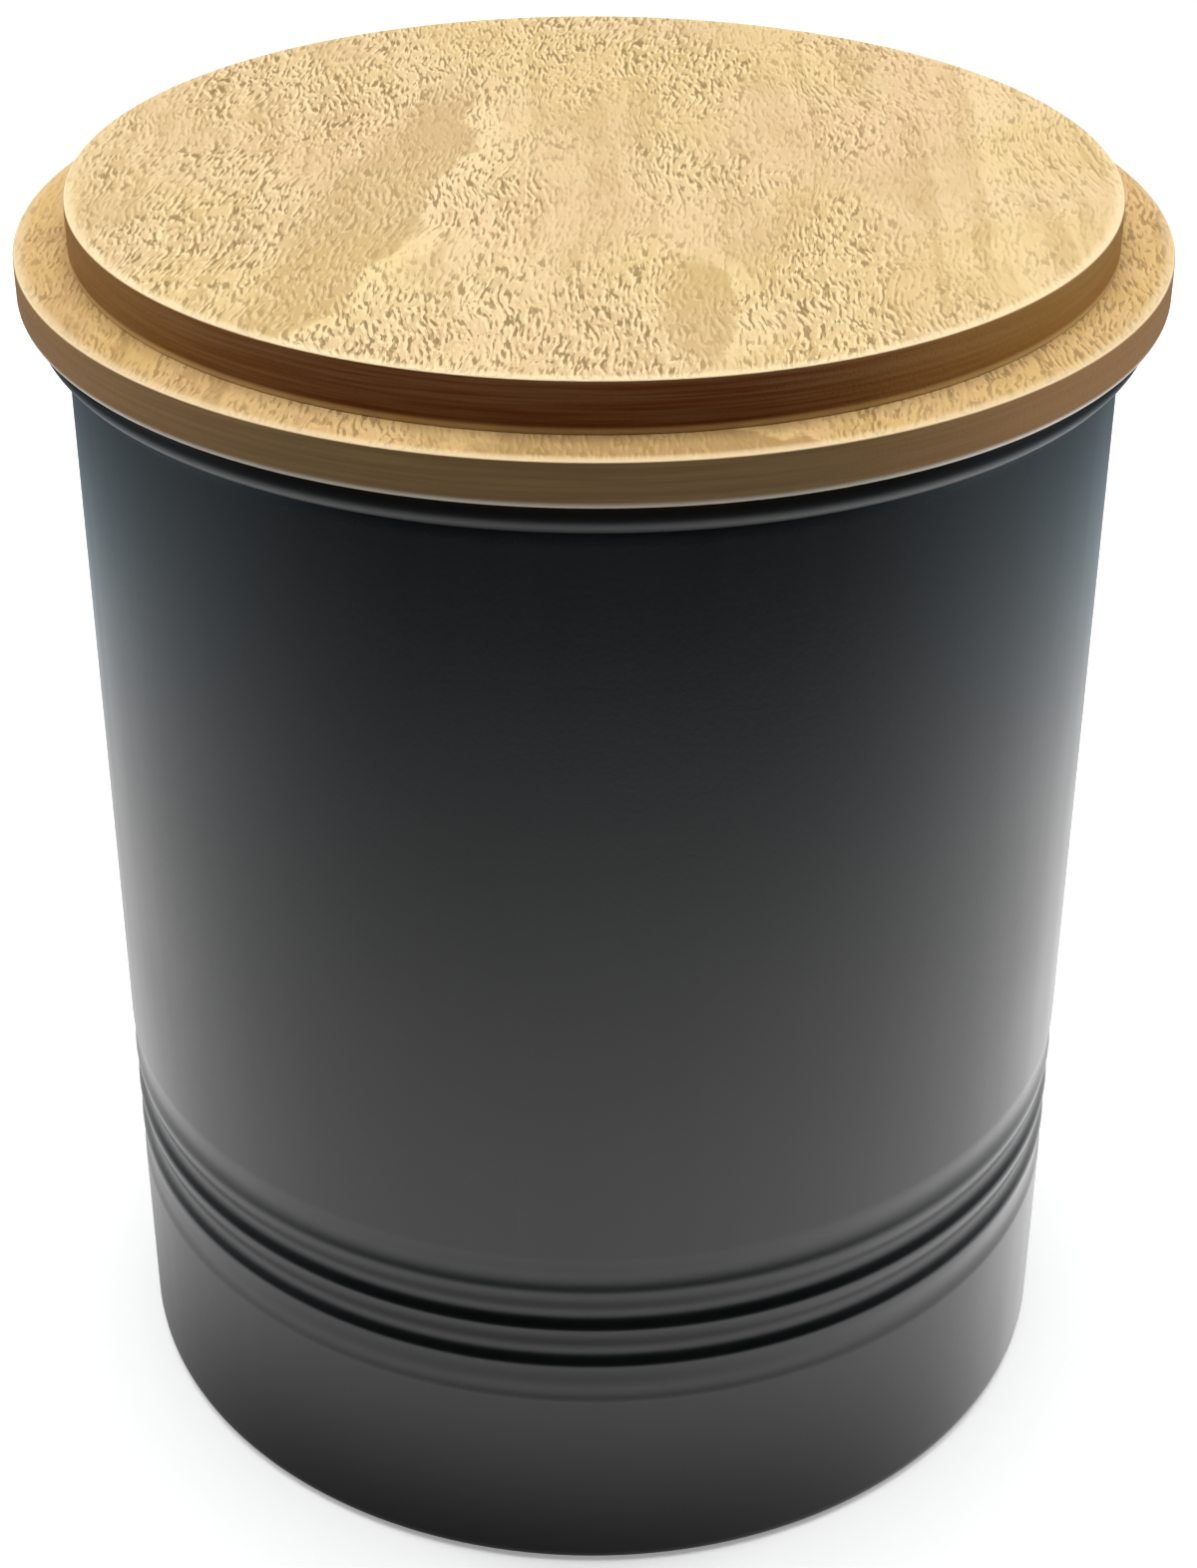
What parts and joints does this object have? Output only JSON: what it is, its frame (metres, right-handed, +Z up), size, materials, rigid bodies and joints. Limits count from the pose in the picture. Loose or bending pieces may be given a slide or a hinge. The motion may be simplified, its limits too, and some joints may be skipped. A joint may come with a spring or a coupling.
{
  "type": "candle tin with wooden lid",
  "caption": "Round black metal candle tin with rolled grooves near its foot, a curled rim and a stepped round wooden lid that seals in the mouth with a silicone ring.",
  "frame": {"origin": "centre of the circle that the tin stands on", "axes": "+Z up along the axis of the tin and the lid; the grain of the lid runs along Y"},
  "size_m": [0.0866, 0.0866, 0.1038],
  "materials": {
    "tin_black": "satin black stoved lacquer on tinplate, soft broad reflections",
    "seal_black": "matte black silicone",
    "plug_wood": "bare turned wood, fine grain",
    "flange_wood": "golden brown turned wood, thin satin oil",
    "disc_wood": "pale golden open-pored wood with darker figure, thin satin oil"
  },
  "bodies": {
    "tin": {"tin_body": "tin_black"},
    "seal": {"seal_ring": "seal_black"},
    "lid": {"lid_plug": "plug_wood", "lid_flange": "flange_wood", "lid_raised_disc": "disc_wood"}
  },
  "joints": [
    {"name": "lid_lift", "type": "slide", "parent": "tin", "child": "seal", "axis": [0, 0, 1], "range_m": [0, 0.04]},
    {"name": "lid_turn", "type": "hinge", "parent": "seal", "child": "lid", "pos_m": [0, 0, 0.0941], "axis": [0, 0, 1], "continuous": true}
  ]
}
